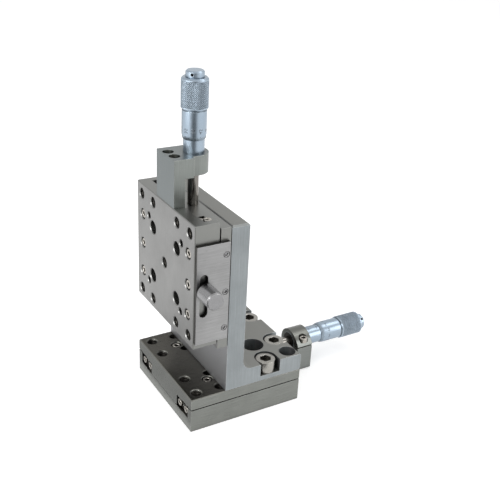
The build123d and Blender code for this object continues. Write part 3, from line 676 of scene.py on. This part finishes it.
def make_springs(unit, shift):
    """Extension springs with an eye on a pin at each end and coils between them, built for one
    place of the slide."""
    mesh = bmesh.new()
    height = SPRING_HEIGHT
    body_pin = BODY_PIN + shift
    first, last = SLIDE_PIN + EYE_TO_COIL, body_pin - EYE_TO_COIL
    for across in (-SPRING_ACROSS, SPRING_ACROSS):
        steps = int((last - first) / COIL_PITCH) * COIL_STEPS
        path = []
        for k in range(steps + 1):
            turn = 2 * math.pi * k / COIL_STEPS
            path.append(place(unit, first + (last - first) * k / steps,
                              across + COIL_RADIUS * math.cos(turn),
                              height + COIL_RADIUS * math.sin(turn)))
        wire(mesh, path, GAUGE * MM, 6)
        for pin, end in ((SLIDE_PIN, first), (body_pin, last)):
            eye = []
            for k in range(EYE_STEPS):
                turn = 2 * math.pi * k / EYE_STEPS
                eye.append(place(unit, pin + EYE_RADIUS * math.cos(turn),
                                 across + EYE_RADIUS * math.sin(turn), height))
            wire(mesh, eye, GAUGE * MM, 6, closed=True)
            near = pin + math.copysign(EYE_RADIUS, end - pin)
            wire(mesh, [place(unit, near, across, height),
                        place(unit, (near + end) / 2, across + 0.8, height),
                        place(unit, end, across + COIL_RADIUS, height)], GAUGE * MM, 6)
    piece = keep(mesh, unit + "_coiled_springs", None, [materials["spring"]])
    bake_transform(piece)
    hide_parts(unit + "_return_springs")


make_springs("x", 0)
make_springs("z", UPPER_LIFT)


# ---------------------------------------------------------------- studio
def flat_card(name, corners, material, only_mirrored=False):
    """A card of the studio. only_mirrored leaves it to be seen in reflections alone."""
    data = bpy.data.meshes.new(name)
    data.from_pydata(corners, [], [(0, 1, 2, 3)])
    data.materials.append(material)
    card = bpy.data.objects.new(name, data)
    bpy.context.scene.collection.objects.link(card)
    card.visible_camera = not only_mirrored
    card.visible_diffuse = not only_mirrored
    card.visible_shadow = not only_mirrored
    return card


def watched(tree):
    """One for what the camera sees, straight, mirrored or through glass."""
    path = add(tree, "LightPath")
    seen = computed(tree, "MAXIMUM", path.outputs["Is Camera Ray"], path.outputs["Is Glossy Ray"])
    return computed(tree, "MAXIMUM", seen, path.outputs["Is Transmission Ray"])


WHITE, BLACK = "#FFFFFF", "#000000"
floor_material, tree = new_material("pale_studio_floor")
speck = add(tree, "TexNoise", {"Vector": add(tree, "TexCoord").outputs["Object"], "Scale": 60.0})
tone = ranged(tree, speck.outputs["Fac"], (0.0, 1.0), (0.985, 1.0))
paper = blended(tree, 1.0, linear("#F2F2F2"), tone, "MULTIPLY")
matt = add(tree, "BsdfDiffuse", {"Color": paper})
glow = add(tree, "Emission", {"Color": linear(WHITE), "Strength": 0.46})
dark = add(tree, "Emission", {"Color": linear(BLACK), "Strength": 0.0})
lift = add(tree, "MixShader", {0: watched(tree), 1: dark.outputs[0], 2: glow.outputs[0]})
total = add(tree, "AddShader", {0: matt.outputs[0], 1: lift.outputs[0]})
add(tree, "OutputMaterial", {"Surface": total.outputs[0]})
FLOOR = 3.0
flat_card("studio_floor", [(-FLOOR, -FLOOR, 0), (FLOOR, -FLOOR, 0), (FLOOR, FLOOR, 0),
                           (-FLOOR, FLOOR, 0)], floor_material)

world = bpy.data.worlds.new("studio")
bpy.context.scene.world = world
world.use_nodes = True
tree = world.node_tree
tree.nodes.clear()
fill = add(tree, "Background", {"Color": linear(WHITE), "Strength": 0.55})
white = add(tree, "Background", {"Color": linear(WHITE), "Strength": 1.0})
shown = add(tree, "MixShader", {0: watched(tree), 1: fill.outputs[0], 2: white.outputs[0]})
add(tree, "OutputWorld", {"Surface": shown.outputs[0]})


def softbox(name, position, size, power, target=(0, 0, 0.07)):
    """A soft lamp of a size in metres and a power in watts, turned to its target."""
    lamp = bpy.data.lights.new(name, "AREA")
    lamp.shape = "RECTANGLE"
    lamp.size, lamp.size_y = size
    lamp.energy = power
    piece = bpy.data.objects.new(name, lamp)
    bpy.context.scene.collection.objects.link(piece)
    piece.location = position
    toward = Vector(target) - Vector(position)
    piece.rotation_euler = toward.to_track_quat("-Z", "Y").to_euler()


softbox("key_softbox", (-1.0, -0.5, 0.65), (0.7, 0.6), 7.0)
softbox("low_softbox", (-0.9, -0.05, 0.22), (0.3, 0.25), 2.7, (0, 0, 0.03))
softbox("side_softbox", (0.8, -0.9, 0.5), (0.5, 0.8), 4.0)
softbox("top_softbox", (0.56, 0.0, 1.05), (0.5, 0.4), 1.8)


# grey studio flags that only the metal sees, as reflections
def flag_cloth(name, reach, darkest, edge):
    """Cloth that is darkest along its middle and fades to its edge, reach degrees to each side."""
    material, tree = new_material(name)
    parts = add(tree, "SeparateXYZ", {0: add(tree, "TexCoord").outputs["Object"]})
    bearing = computed(tree, "ARCTAN2", parts.outputs[0], parts.outputs[1])
    away = computed(tree, "ABSOLUTE", bearing)
    level = ranged(tree, away, (math.radians(180 - reach * 0.25), math.radians(180 - reach)),
                   (darkest, edge), interpolation_type="SMOOTHSTEP")
    light = add(tree, "Emission", {"Color": linear(WHITE), "Strength": level})
    add(tree, "OutputMaterial", {"Surface": light.outputs[0]})
    return material


def plain_cloth(name, level):
    """Cloth of one grey, a little uneven from its weave."""
    material, tree = new_material(name)
    weave = add(tree, "TexNoise", {"Vector": add(tree, "TexCoord").outputs["Object"],
                                   "Scale": 300.0})
    tone = ranged(tree, weave.outputs["Fac"], (0.0, 1.0), (level * 0.9, level * 1.1))
    light = add(tree, "Emission", {"Color": linear(WHITE), "Strength": tone})
    add(tree, "OutputMaterial", {"Surface": light.outputs[0]})
    return material


def sector(near, far, first, last):
    """Corners of a level card round the stage, between two bearings from it, in degrees."""
    return [(r * math.sin(math.radians(a)), r * math.cos(math.radians(a)), 0.0)
            for r, a in ((near, first), (far, first), (far, last), (near, last))]


FRONT_BEARING = 211.6       # of the front flag's middle, in degrees
FRONT_REACH = 34
FRONT_LIFT = 0.002          # over the floor, in metres
front = flat_card("front_flag", sector(0.10, 1.2, 180 - FRONT_REACH, 180 + FRONT_REACH),
                  flag_cloth("front_flag_cloth", FRONT_REACH, 0.10, 1.0), True)
front.matrix_world = (Matrix.Translation((0, 0, FRONT_LIFT))
                      @ Matrix.Rotation(math.radians(180 - FRONT_BEARING), 4, "Z"))
flat_card("back_flag", [(0.070, 0.133, 0.004), (-0.050, 0.206, 0.004), (-0.050, 0.206, 0.13),
                        (0.070, 0.133, 0.13)], plain_cloth("back_flag_cloth", 0.30), True)
flat_card("left_flag", [(-0.032, -0.03, 0.001), (-0.032, 0.07, 0.001), (-0.075, 0.07, 0.001),
                        (-0.075, -0.03, 0.001)], plain_cloth("left_flag_cloth", 0.65), True)

# ---------------------------------------------------------------- camera
AZIMUTH, ELEVATION, ROLL = math.radians(31.60), math.radians(25.59), math.radians(3.04)
DISTANCE, LENS = 0.398, 59.1
back = Vector((-math.sin(AZIMUTH) * math.cos(ELEVATION), -math.cos(AZIMUTH) * math.cos(ELEVATION),
               math.sin(ELEVATION)))
right = Vector((math.cos(AZIMUTH), -math.sin(AZIMUTH), 0))
up = back.cross(right)
side = right * math.cos(ROLL) + up * math.sin(ROLL)
top = up * math.cos(ROLL) - right * math.sin(ROLL)
AIM_HEIGHT, AIM_SIDE, AIM_TOP = 0.060, 0.0143, 0.0147
aim = Vector((0, 0, AIM_HEIGHT)) + side * AIM_SIDE + top * AIM_TOP
camera_data = bpy.data.cameras.new("camera")
camera_data.lens = LENS
camera_data.sensor_width = 36.0
camera_data.clip_start, camera_data.clip_end = 0.02, 20.0
camera = bpy.data.objects.new("camera", camera_data)
bpy.context.scene.collection.objects.link(camera)
spot = aim + back * DISTANCE
camera.matrix_world = Matrix(((side.x, top.x, back.x, spot.x), (side.y, top.y, back.y, spot.y),
                              (side.z, top.z, back.z, spot.z), (0, 0, 0, 1)))
bpy.context.scene.camera = camera
bpy.context.scene.view_settings.view_transform = "Standard"
